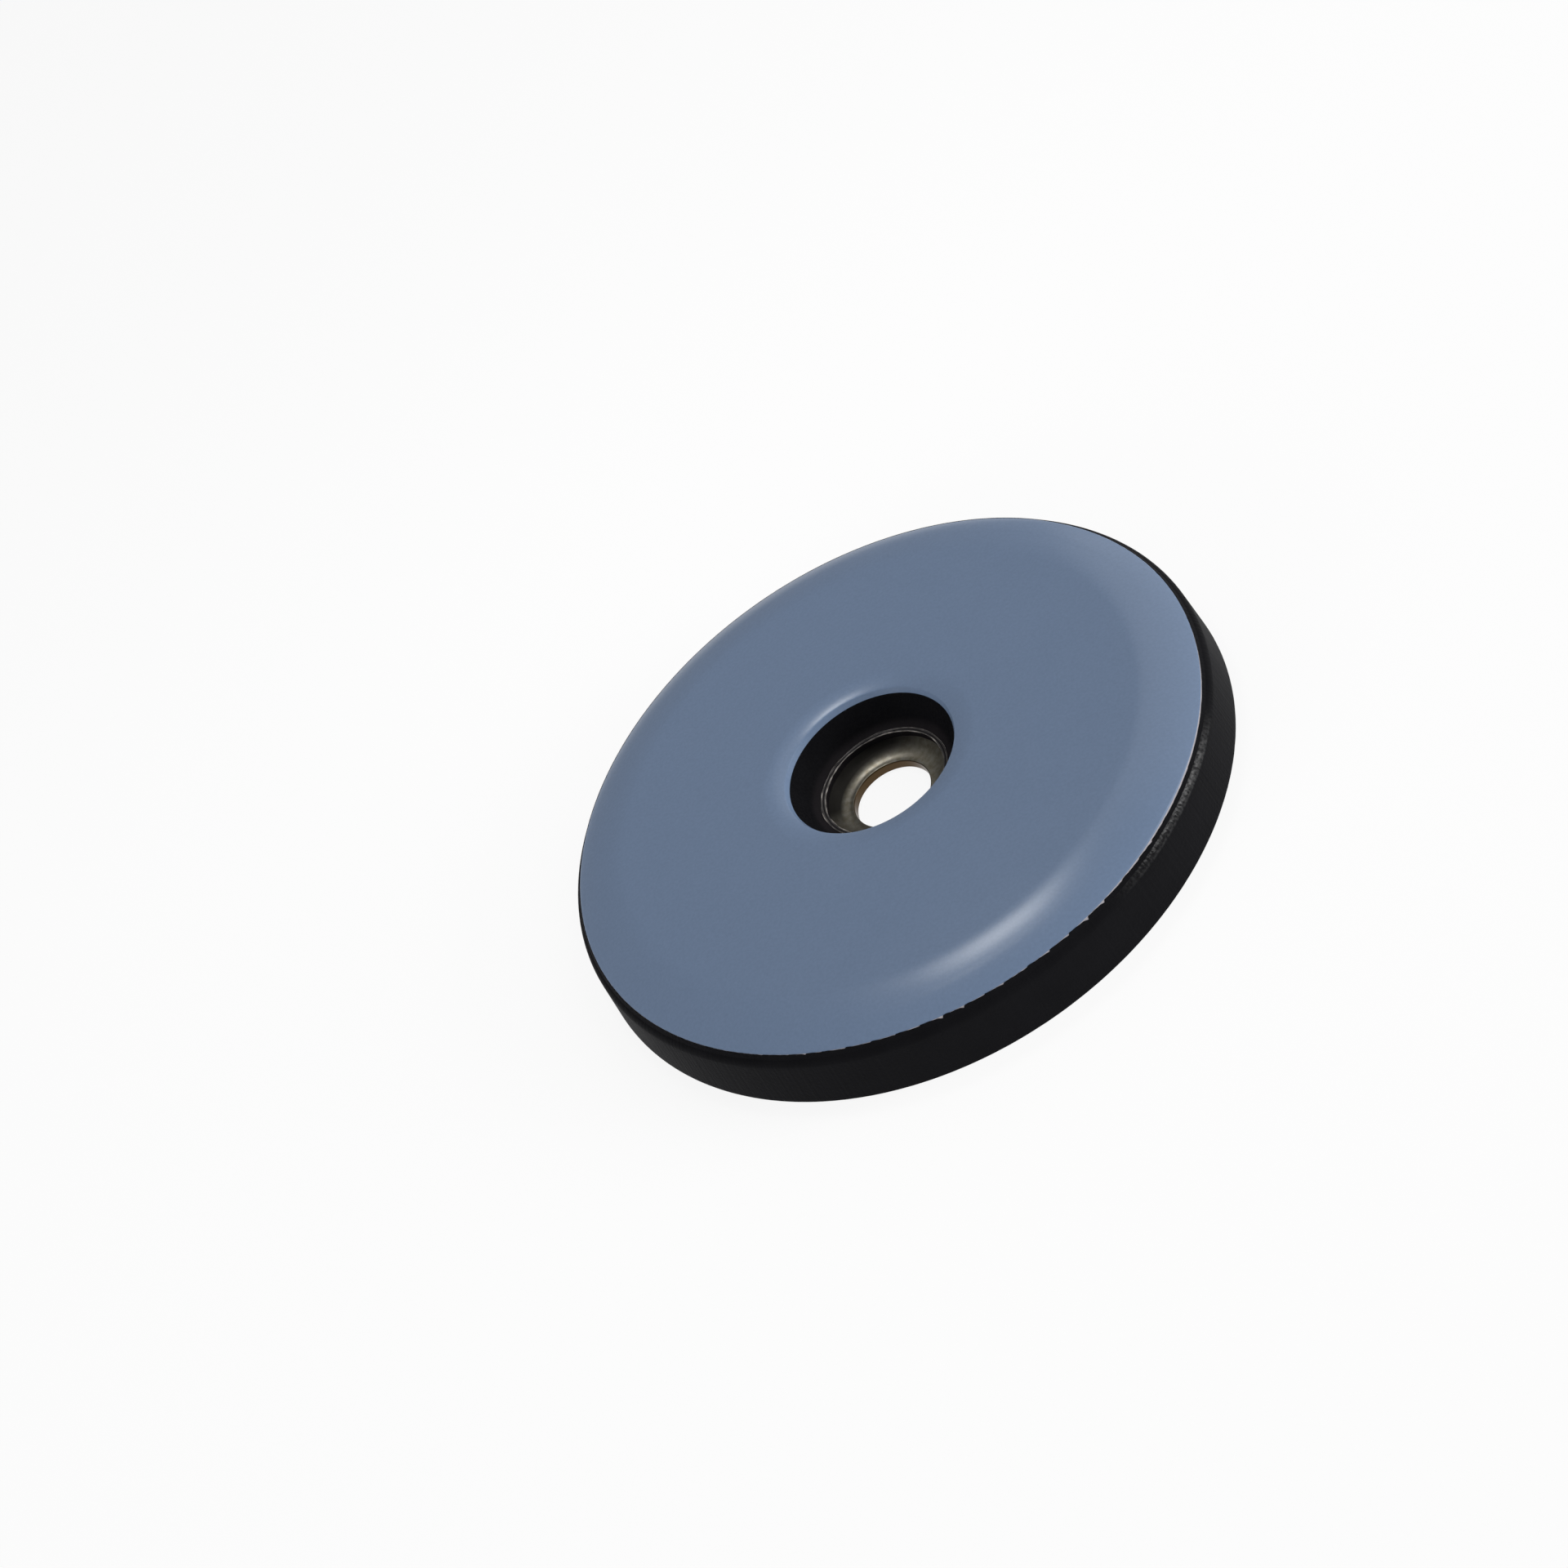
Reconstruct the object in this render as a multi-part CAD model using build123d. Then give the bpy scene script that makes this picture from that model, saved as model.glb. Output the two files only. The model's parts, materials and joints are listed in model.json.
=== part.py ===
from build123d import *
import os
from math import radians, tan

# Screw-on furniture glide: a formed sliding pad on a moulded rubber base, with a pressed steel cup
# moulded in as the seat of the screw. It lies on its back: the face that goes against the chair leg
# is on z = 0, the sliding face looks up, and the screw's axis is Z. Sizes in millimetres and degrees.

# Whole glide
glide_radius = 25.0  # at the back edge, where it is widest
glide_height = 5.0  # from the back face to the sliding face

# Sliding pad
pad_thickness = 0.7  # of the sheet
rim_roll_width = 4.2  # the sliding face starts to fall this far inside the cut edge at the seam
rim_roll_drop = 0.85  # and lies this much lower there
cut_edge_width = 0.2  # from the top of a cut edge to its foot at the seam or the hole
rim_edge_height = 0.3  # of the cut edge at the seam
lip_roll_width = 1.6  # the sliding face starts to fall this far outside the cut edge at the hole
lip_edge_height = 0.4  # of the cut edge at the hole

# Rubber base
seam_inset = 0.85  # from the back edge in to the seam
wall_draft = 0.45  # from the back edge in to the top of the side wall
shoulder_height = 0.5  # from the top of the side wall up to the seam
well_land = 0.35  # straight wall just under the pad's lip
well_flare = 1.1  # from the foot of the well out to the pad's hole
well_foot_rounding = 0.7
well_lip_width = 0.55  # ledge from the foot of the well in to its throat
well_lip_height = 0.5  # of the rubber on the steel, at the throat

# Steel cup
screw_hole_radius = 3.0
steel_thickness = 0.7
screw_hole_rounding = 0.1  # upper edge of the screw hole
floor_width = 0.05  # flat ring between that edge and the bend of the seat
seat_bend = 1.7  # inside radius, from the floor to the seat
seat_angle = 45.0  # rise of the seat, for a countersunk head of 90 degrees
seat_width = 0.9  # from the corner of the floor out to the flange
flange_width = 4.2  # flat rim of the cup, held in the rubber

# Places that follow from these sizes
pad_seat_height = glide_height - pad_thickness
seam_radius = glide_radius - seam_inset
rim_edge_top = (seam_radius - cut_edge_width, glide_height - rim_roll_drop)
seam = (seam_radius, rim_edge_top[1] - rim_edge_height)
rim_roll_start = rim_edge_top[0] - rim_roll_width
wall_top = (glide_radius - wall_draft, seam[1] - shoulder_height)
half_turn = tan(radians(seat_angle) / 2)
rise = tan(radians(seat_angle))
floor_corner = screw_hole_radius + screw_hole_rounding + floor_width + seat_bend * half_turn
outside_shift = steel_thickness * half_turn  # corners under the sheet lie this much further out
throat_radius = floor_corner + seat_width
flange_radius = throat_radius + flange_width
flange_height = steel_thickness + seat_width * rise
throat_height = flange_height + well_lip_height
well_foot_radius = throat_radius + well_lip_width
hole_radius = well_foot_radius + well_flare
lip_edge_top = (hole_radius + cut_edge_width, pad_seat_height + lip_edge_height)
lip_roll_start = lip_edge_top[0] + lip_roll_width


def round_corner(corner, radius):
    """Round the corner of the current sketch that lies at the given point."""
    fillet(vertices().sort_by_distance(corner)[0], radius)


# Steel cup: one sheet, bent up from the floor to the dished seat and out again to the flange
with BuildPart() as screw_cup:
    with BuildSketch(Plane.XZ):
        with BuildLine():
            hole_top = (screw_hole_radius, steel_thickness)
            inner_foot = (floor_corner, steel_thickness)
            outer_foot = (floor_corner + outside_shift, 0)
            Polyline(
                (screw_hole_radius, 0),
                hole_top,
                inner_foot,
                (throat_radius, flange_height),
                (flange_radius, flange_height),
                (flange_radius, flange_height - steel_thickness),
                (throat_radius + outside_shift, flange_height - steel_thickness),
                outer_foot,
                close=True,
            )
        make_face()
        round_corner(hole_top, screw_hole_rounding)
        round_corner(inner_foot, seat_bend)
        round_corner(outer_foot, seat_bend + steel_thickness)
    revolve(axis=Axis.Z)

# Rubber base: crowned under the pad, moulded around the cup, open to the steel on both sides
with BuildPart() as rubber_base:
    with BuildSketch(Plane.XZ):
        with BuildLine():
            well_foot = (well_foot_radius, throat_height)
            TangentArc(wall_top, seam, tangent=(-wall_draft, wall_top[1]))
            Polyline(
                seam,
                (rim_roll_start, pad_seat_height),
                (hole_radius, pad_seat_height),
                (hole_radius, pad_seat_height - well_land),
                well_foot,
                (throat_radius, throat_height),
                (throat_radius, 0),
                (glide_radius, 0),
                wall_top,
            )
        make_face()
        round_corner(well_foot, well_foot_rounding)
    revolve(axis=Axis.Z)
    add(screw_cup.part, mode=Mode.SUBTRACT)

# Sliding pad: flat face that rolls down to the sheet's cut edges at the seam and at the hole
with BuildPart() as sliding_pad:
    with BuildSketch(Plane.XZ):
        with BuildLine():
            TangentArc((rim_roll_start, glide_height), rim_edge_top, tangent=(1, 0))
            TangentArc((lip_roll_start, glide_height), lip_edge_top, tangent=(-1, 0))
            Line((rim_roll_start, glide_height), (lip_roll_start, glide_height))
            Polyline(
                rim_edge_top,
                seam,
                (rim_roll_start, pad_seat_height),
                (hole_radius, pad_seat_height),
                lip_edge_top,
            )
        make_face()
    revolve(axis=Axis.Z)

os.makedirs("parts", exist_ok=True)
export_step(screw_cup.part, "parts/screw_cup.step")
export_step(rubber_base.part, "parts/rubber_base.step")
export_step(sliding_pad.part, "parts/sliding_pad.step")
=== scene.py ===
import json
from collections import namedtuple
from math import atan2, cos, hypot, pi, radians, sin, tan, tau
from random import Random
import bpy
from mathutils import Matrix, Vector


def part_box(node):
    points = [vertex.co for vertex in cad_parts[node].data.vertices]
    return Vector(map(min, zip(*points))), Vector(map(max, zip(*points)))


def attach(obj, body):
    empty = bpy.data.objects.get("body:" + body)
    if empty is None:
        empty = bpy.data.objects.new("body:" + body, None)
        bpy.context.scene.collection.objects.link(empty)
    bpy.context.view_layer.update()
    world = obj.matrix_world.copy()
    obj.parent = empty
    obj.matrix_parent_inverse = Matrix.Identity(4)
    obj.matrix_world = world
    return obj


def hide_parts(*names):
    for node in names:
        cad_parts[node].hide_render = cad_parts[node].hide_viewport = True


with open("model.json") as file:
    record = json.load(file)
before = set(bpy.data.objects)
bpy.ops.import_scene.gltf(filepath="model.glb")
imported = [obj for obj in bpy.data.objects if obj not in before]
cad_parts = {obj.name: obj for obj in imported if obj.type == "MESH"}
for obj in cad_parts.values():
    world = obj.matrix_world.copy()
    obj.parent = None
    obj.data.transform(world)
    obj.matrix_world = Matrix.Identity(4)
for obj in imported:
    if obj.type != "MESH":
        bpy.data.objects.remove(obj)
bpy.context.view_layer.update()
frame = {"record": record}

from types import SimpleNamespace

import bmesh
import bpy
from bpy.props import FloatProperty, FloatVectorProperty, PointerProperty
from mathutils import Matrix, Vector, noise

# Screw-on furniture glide, lying on its back: a formed PTFE pad on a moulded rubber base, with a
# pressed steel cup in the middle as the seat of the screw. Metres, in the frame of the solids.

bl_info = {
    "name": "Furniture glide",
    "version": (1, 0, 0),
    "blender": (4, 5, 0),
    "location": "3D View > Sidebar > Glide",
    "description": "Models the pieces and finishes of a screw-on furniture glide and its stage",
    "category": "Object",
}

MM = 0.001
BODY = "root"

# What the frame says about the sizes
base_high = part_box("rubber_base")[1]
pad_low, pad_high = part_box("sliding_pad")
cup_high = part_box("screw_cup")[1]
mounts = {mount["name"]: mount for mount in frame["record"]["mounts"]}
screw_hole_dims = mounts["screw_hole"]["dims"]

# How finely the rings are turned
PAD_STEPS = 480
BASE_STEPS = 720
CUP_STEPS = 256
SEAM_FLASH_STEPS = 1440
THROAT_FLASH_STEPS = 480
SAME_RING = 0.001 * MM
SHARP_CORNER = radians(35)

# Spacing of the patterns in the finishes. The mottle of the sheet and the grain of the rubber are finer in
# life, and are drawn this coarse so that they show.
SHEET_MOTTLE = 0.22 * MM
SHEET_CLOUDS = 4 * MM
CUT_FIBRES = 0.3 * MM
RUBBER_GRAIN = 0.22 * MM
RUBBER_PATCHES = 2.5 * MM
RUBBER_MARKS = 0.3 * MM
FLASH_BRUISES = 0.5 * MM
STEEL_RINGS = 0.12 * MM
STEEL_STAINS = 0.4 * MM

# Where the finish of the cup changes: out from the wall of its hole, from left to right across it, and
# from its middle to the far side. The wall of the hole is brown and dark as painted shade, and the seat
# gets painted shade, most at its rim on the far side and on the left
PUNCHED_START = 0.02 * MM
PUNCHED_END = 0.08 * MM
SEAT_SHADE_START = 0.3 * MM
SEAT_SHADE_END_LEFT = 1 * MM
SEAT_SHADE_END_RIGHT = 1.2 * MM
LEFT_SHADE_FULL = -2 * MM
LEFT_SHADE_GONE = 1.5 * MM
FAR_SIDE = (-0.342, 0.94, 0)
FAR_REACH = 2.8 * MM

# How rubber looks at a height: its colour, the strength of its reflection and its roughness
Level = namedtuple("Level", "height tone mirror roughness")

# Ridge of flash: how far it lies out from the throat and up, its random seed and how full it is
Bead = namedtuple("Bead", "out up seed share")

# Lamp of the stage: its direction and distance from the glide, and its width and height
Lamp = namedtuple("Lamp", "direction distance size")


def linear(code):
    """Linear colour of an sRGB hex value."""
    channels = [int(code[i : i + 2], 16) / 255 for i in (1, 3, 5)]
    return tuple(c / 12.92 if c <= 0.04045 else ((c + 0.055) / 1.055) ** 2.4 for c in channels)


def length(name, description, default):
    """Property for a length in metres."""
    return FloatProperty(name=name, description=description, default=default, unit="LENGTH", precision=5)


def angle(name, description, degrees):
    """Property for an angle, given in degrees."""
    return FloatProperty(name=name, description=description, default=radians(degrees), subtype="ANGLE")


def colour(name, description, code):
    """Property for a colour, given as an sRGB hex value."""
    return FloatVectorProperty(
        name=name, description=description, default=linear(code), subtype="COLOR", min=0, max=1
    )


class GlideSizes(bpy.types.PropertyGroup):
    """Sizes of the glide's section, and of the flash that its moulding left"""

    glide_radius: length("Glide radius", "At the back edge, where it is widest", base_high.x)
    glide_height: length("Glide height", "From the back face to the sliding face", pad_high.z)

    pad_seat_height: length("Pad seat height", "Top of the rubber under the flat of the pad", base_high.z)
    seam_radius: length("Seam radius", "Where pad and rubber meet outside", pad_high.x)
    seam_height: length("Seam height", "Where pad and rubber meet outside", pad_low.z)
    rim_roll_width: length("Rim roll width", "Fall of the pad, inside its cut edge at the seam", 4.2 * MM)
    lip_roll_width: length("Lip roll width", "Fall of the pad, outside its cut edge at the hole", 1.6 * MM)
    cut_edge_width: length("Cut edge width", "From the top of a cut edge to its foot", 0.2 * MM)
    rim_edge_height: length("Rim edge height", "Of the cut edge at the seam", 0.3 * MM)
    lip_edge_height: length("Lip edge height", "Of the cut edge at the hole", 0.4 * MM)
    rim_edge_rounding: length("Rim edge rounding", "Softening of the cut edge at the seam", 0.12 * MM)
    lip_edge_rounding: length("Lip edge rounding", "Softening of the cut edge at the hole", 0.05 * MM)
    pad_waviness: length("Pad waviness", "Depth of the sheet's slight unevenness", 0.012 * MM)
    wave_spacing: length("Wave spacing", "From one low place of the sheet to the next", 11 * MM)

    wall_draft: length("Wall draft", "From the back edge in to the top of the side wall", 0.45 * MM)
    shoulder_height: length("Shoulder height", "From the top of the side wall to the seam", 0.5 * MM)
    back_edge_rounding: length("Back edge rounding", "Softening of the back edge", 0.08 * MM)
    well_land: length("Well land", "Straight wall just under the pad's lip", 0.35 * MM)
    well_flare: length("Well flare", "From the foot of the well out to the pad's hole", 1.1 * MM)
    well_foot_rounding: length("Well foot rounding", "Radius at the foot of the well", 0.7 * MM)
    well_lip_width: length("Well lip width", "Ledge from the well's foot in to its throat", 0.55 * MM)
    well_lip_height: length("Well lip height", "Rubber on the steel at the throat", 0.5 * MM)
    striation_depth: length("Striation depth", "Tool marks down the side wall", 0.012 * MM)
    striation_spacing: length("Striation spacing", "From one tool mark to the next", 0.45 * MM)

    screw_hole_radius: length("Screw hole radius", "Hole in the cup", screw_hole_dims["r_mm"] * MM)
    screw_hole_rounding: length("Screw hole rounding", "Upper edge of the screw hole", 0.1 * MM)
    steel_thickness: length("Steel thickness", "Sheet of the cup", 0.7 * MM)
    seat_bend: length("Seat bend", "Inside radius from the floor to the seat", 1.7 * MM)
    seat_angle: angle("Seat angle", "Rise of the seat", 45)
    seat_width: length("Seat width", "From the corner of the floor out to the flange", 0.9 * MM)
    flange_width: length("Flange width", "Rim of the cup, held in the rubber", 4.2 * MM)
    flange_radius: length("Flange radius", "Outside of the cup", cup_high.x)
    flange_height: length("Flange height", "Top of the cup", cup_high.z)

    polished_middle: angle("Polished middle", "Direction of the middle of the shiny stretch", -56.5)
    polished_reach: angle("Polished reach", "Half the length of the shoulder's shiny stretch", 20)

    flash_thickness: length("Flash thickness", "Feather edge of the flash", 0.02 * MM)
    flash_foot: length("Flash foot", "Width of the seam flash on the shoulder", 0.16 * MM)
    flash_cover: FloatProperty(
        name="Flash cover", description="Share of the pad's cut edge that the flash hides",
        default=0.95, subtype="FACTOR",
    )
    bare_cover: FloatProperty(
        name="Bare cover", description="The same, where the cut edge lies bare",
        default=0.72, subtype="FACTOR",
    )
    bare_middle: angle("Bare middle", "Direction of the middle of the bare stretch", -53)
    bare_reach: angle("Bare reach", "Half the length of the bare stretch", 32)
    ragged_middle: angle("Ragged middle", "Direction of the middle of the ragged stretch", -92)
    ragged_reach: angle("Ragged reach", "Half the length of the ragged stretch", 50)
    throat_overhang: length("Throat overhang", "Flash that leans in over the throat", 0.13 * MM)


class GlideColours(bpy.types.PropertyGroup):
    """Colours of the glide's materials"""

    pad: colour("Pad", "PTFE sheet", "#667790")
    cut_edge: colour("Cut edge", "Cut edge of the PTFE sheet", "#98959A")
    rubber: colour("Rubber", "Moulded base", "#121214")
    dust: colour("Dust", "Bloom on the rubber at the foot of the well", "#1F1D1F")
    flash: colour("Flash", "Scuffed feather edges of the rubber", "#8E8984")
    ledge: colour("Ledge", "Rubbed rubber between the feather edges in the throat", "#2E2B2A")
    steel: colour("Steel", "Pressed cup", "#959287")
    tarnish: colour("Tarnish", "Brown film on the cup", "#787161")
    # Painted shade on the cup's seat, darkest at its rim on the far side and on the left
    seat_shade: colour("Soot", "Burnt oil where the cup's seat was drawn", "#454340")
    # Brown of the wall of the screw hole, made dark as painted shade in the hole
    punched: colour("Punched", "Wall of the punched hole", "#4E3F2D")
    floor: colour("Floor", "Surface that the glide lies on", "#F2F2F2")


class GlideStage(bpy.types.PropertyGroup):
    """Camera and light"""

    camera_place: FloatVectorProperty(
        name="Camera place", description="Where the camera stands",
        default=(-5.840 * MM, -105.204 * MM, 95.325 * MM), unit="LENGTH",
    )
    camera_elevation: angle("Camera elevation", "Looking down along +Y by this much", 39.893)
    camera_roll: angle("Camera roll", "Turn of the picture about the line of sight", -36.402)
    camera_lens: FloatProperty(
        name="Camera lens", description="Focal length on a sensor 36 mm wide", default=45.292, min=1
    )
    key_radiance: FloatProperty(name="Key radiance", description="Lamp above the glide", default=16.5)
    strip_radiance: FloatProperty(name="Strip radiance", description="Tall lamp at the right", default=4.0)
    reflector_radiance: FloatProperty(
        name="Reflector radiance", description="Dim panel behind on the right", default=0.8
    )
    fill_radiance: FloatProperty(name="Fill radiance", description="Low lamps at the sides", default=15.0)
    sky_strength: FloatProperty(name="Sky strength", description="Soft light from all round", default=0.295)
    floor_glow: FloatProperty(
        name="Floor glow", description="Share of the floor that shows white in shadow too",
        default=0.88, subtype="FACTOR",
    )


def arc_corner(start, heading, end):
    """Corner, and its distance from both ends, of the arc that leaves start along heading."""
    chord = end - start
    reach = chord.length_squared / (2 * chord.dot(heading.normalized()))
    return start + heading.normalized() * reach, reach


def fillet_reach(before, corner, after, radius):
    """Distance from a corner to the ends of its fillet."""
    return radius * tan((corner - before).angle(after - corner) / 2)


def places(s):
    """Corners of the section that the pieces share, as (radius, height)."""
    p = SimpleNamespace()
    p.throat_radius = s.flange_radius - s.flange_width
    p.throat_height = s.flange_height + s.well_lip_height
    p.well_foot = Vector((p.throat_radius + s.well_lip_width, p.throat_height))
    p.hole_radius = p.well_foot.x + s.well_flare
    p.seam = Vector((s.seam_radius, s.seam_height))
    p.rim_edge = p.seam + Vector((-s.cut_edge_width, s.rim_edge_height))
    p.rim_start = Vector((p.rim_edge.x - s.rim_roll_width, s.glide_height))
    p.rim_underside = Vector((p.rim_start.x, s.pad_seat_height))
    p.hole_edge = Vector((p.hole_radius, s.pad_seat_height))
    p.lip_edge = p.hole_edge + Vector((s.cut_edge_width, s.lip_edge_height))
    p.lip_start = Vector((p.lip_edge.x + s.lip_roll_width, s.glide_height))
    p.back_edge = Vector((s.glide_radius, 0))
    p.wall_top = Vector((s.glide_radius - s.wall_draft, s.seam_height - s.shoulder_height))
    p.throat_top = Vector((p.throat_radius, p.throat_height))
    p.flange_under = s.flange_height - s.steel_thickness
    p.outside_shift = s.steel_thickness * tan(s.seat_angle / 2)
    p.floor_corner = p.throat_radius - s.seat_width
    return p


def spun(section, steps, bm=None):
    """Mesh of a closed section, given by its corners, turned once round Z, or a mesh with it added."""
    bm = bm or bmesh.new()
    corners = [bm.verts.new((radius, 0, height)) for radius, height in section]
    sides = [bm.edges.new(pair) for pair in zip(corners, corners[1:] + corners[:1])]
    bmesh.ops.spin(
        bm, geom=corners + sides, cent=(0, 0, 0), axis=(0, 0, 1), angle=tau, steps=steps, use_merge=True
    )
    bmesh.ops.recalc_face_normals(bm, faces=bm.faces)
    return bm


def ring_verts(bm, corner):
    """Vertices of the ring that a corner of the section was turned into."""
    return {
        v for v in bm.verts
        if abs(hypot(v.co.x, v.co.y) - corner[0]) < SAME_RING and abs(v.co.z - corner[1]) < SAME_RING
    }


def round_ring(bm, corner, reach, segments):
    """Round the ring at a corner of the section, over the given distance to both sides."""
    ring = ring_verts(bm, corner)
    edges = [e for e in bm.edges if e.verts[0] in ring and e.verts[1] in ring]
    bmesh.ops.bevel(
        bm, geom=edges, offset=reach, offset_type="OFFSET", segments=segments, profile=0.5,
        affect="EDGES", clamp_overlap=False, material=-1,
    )
    bmesh.ops.remove_doubles(bm, verts=bm.verts, dist=SAME_RING)


def divide_between(bm, inner, outer, cuts):
    """Add rings between two rings of the mesh."""
    here, there = ring_verts(bm, inner), ring_verts(bm, outer)
    edges = [
        e for e in bm.edges
        if (e.verts[0] in here and e.verts[1] in there) or (e.verts[1] in here and e.verts[0] in there)
    ]
    bmesh.ops.subdivide_edges(bm, edges=edges, cuts=cuts, use_grid_fill=True)


def along_ring(turn, radius, spacing, seed):
    """Smooth random value, from about -1 to 1, that runs round a ring and closes on itself."""
    reach = radius / spacing
    return noise.noise(Vector((cos(turn) * reach, sin(turn) * reach, seed)))


def set_ring_point(vert, turn, radius, height):
    """Put a vertex at a direction, radius and height."""
    vert.co = (cos(turn) * radius, sin(turn) * radius, height)


def finish_piece(bm, name, materials, node=None):
    """Make the mesh an object of the glide, with its finish, and hide the solid that it stands for."""
    bmesh.ops.recalc_face_normals(bm, faces=bm.faces)
    mesh = bpy.data.meshes.new(name)
    bm.to_mesh(mesh)
    bm.free()
    for material in materials:
        mesh.materials.append(material)
    mesh.shade_smooth()
    mesh.set_sharp_from_angle(angle=SHARP_CORNER)
    piece = bpy.data.objects.new(name, mesh)
    bpy.context.scene.collection.objects.link(piece)
    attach(piece, BODY)
    if node:
        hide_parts(node)


def add_node(tree, kind, feeds=None, **settings):
    """Add a node: feeds gives its inputs a value or the socket that drives them."""
    made = tree.nodes.new(kind)
    for name, value in settings.items():
        setattr(made, name, value)
    for name, value in (feeds or {}).items():
        if isinstance(value, bpy.types.NodeSocket):
            tree.links.new(value, made.inputs[name])
        else:
            made.inputs[name].default_value = value
    return made


def blank_material(name):
    """New material with its node tree and its surface shader."""
    material = bpy.data.materials.new(name)
    material.use_nodes = True
    return material, material.node_tree, material.node_tree.nodes["Principled BSDF"]


def shade(tone, factor):
    """Opaque colour, lighter or darker by a factor."""
    return (*(min(1, channel * factor) for channel in tone), 1)


def ptfe_sheet(tone):
    """PTFE sheet, hot-formed: even and waxy, satin, with a fine mottle and a soft broad sheen."""
    material, tree, shader = blank_material("ptfe_sheet_satin")
    place = add_node(tree, "ShaderNodeTexCoord").outputs["Object"]
    grain = add_node(tree, "ShaderNodeTexNoise", {"Vector": place, "Scale": 1 / SHEET_MOTTLE, "Detail": 2})
    cloud = add_node(tree, "ShaderNodeTexNoise", {"Vector": place, "Scale": 1 / SHEET_CLOUDS, "Detail": 3})
    speckled = add_node(
        tree, "ShaderNodeMix", {0: grain.outputs["Fac"], 6: shade(tone, 0.91), 7: shade(tone, 1.09)},
        data_type="RGBA",
    )
    clouded = add_node(
        tree, "ShaderNodeMix", {0: cloud.outputs["Fac"], 6: shade((1, 1, 1), 0.97), 7: shade((1, 1, 1), 1.0)},
        data_type="RGBA",
    )
    toned = add_node(
        tree, "ShaderNodeMix", {0: 1.0, 6: speckled.outputs[2], 7: clouded.outputs[2]},
        data_type="RGBA", blend_type="MULTIPLY",
    )
    gloss = add_node(
        tree, "ShaderNodeMapRange", {"Value": cloud.outputs["Fac"], "To Min": 0.2, "To Max": 0.25}
    )
    relief = add_node(
        tree, "ShaderNodeBump", {"Height": grain.outputs["Fac"], "Strength": 0.12, "Distance": 0.02 * MM}
    )
    tree.links.new(toned.outputs[2], shader.inputs["Base Color"])
    tree.links.new(gloss.outputs[0], shader.inputs["Roughness"])
    tree.links.new(relief.outputs["Normal"], shader.inputs["Normal"])
    shader.inputs["IOR"].default_value = 1.35
    return material


def ptfe_cut_edge(tone):
    """Cut edge of the PTFE sheet: paler than its face, and matt, because the knife left it rough."""
    material, tree, shader = blank_material("ptfe_cut_edge")
    place = add_node(tree, "ShaderNodeTexCoord").outputs["Object"]
    fibres = add_node(tree, "ShaderNodeTexNoise", {"Vector": place, "Scale": 1 / CUT_FIBRES, "Detail": 4})
    streaked = add_node(
        tree, "ShaderNodeMix", {0: fibres.outputs["Fac"], 6: shade(tone, 0.7), 7: shade(tone, 1.3)},
        data_type="RGBA",
    )
    relief = add_node(
        tree, "ShaderNodeBump", {"Height": fibres.outputs["Fac"], "Strength": 0.3, "Distance": 0.03 * MM}
    )
    tree.links.new(streaked.outputs[2], shader.inputs["Base Color"])
    tree.links.new(relief.outputs["Normal"], shader.inputs["Normal"])
    shader.inputs["Roughness"].default_value = 0.6
    shader.inputs["IOR"].default_value = 1.4
    return material


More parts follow.
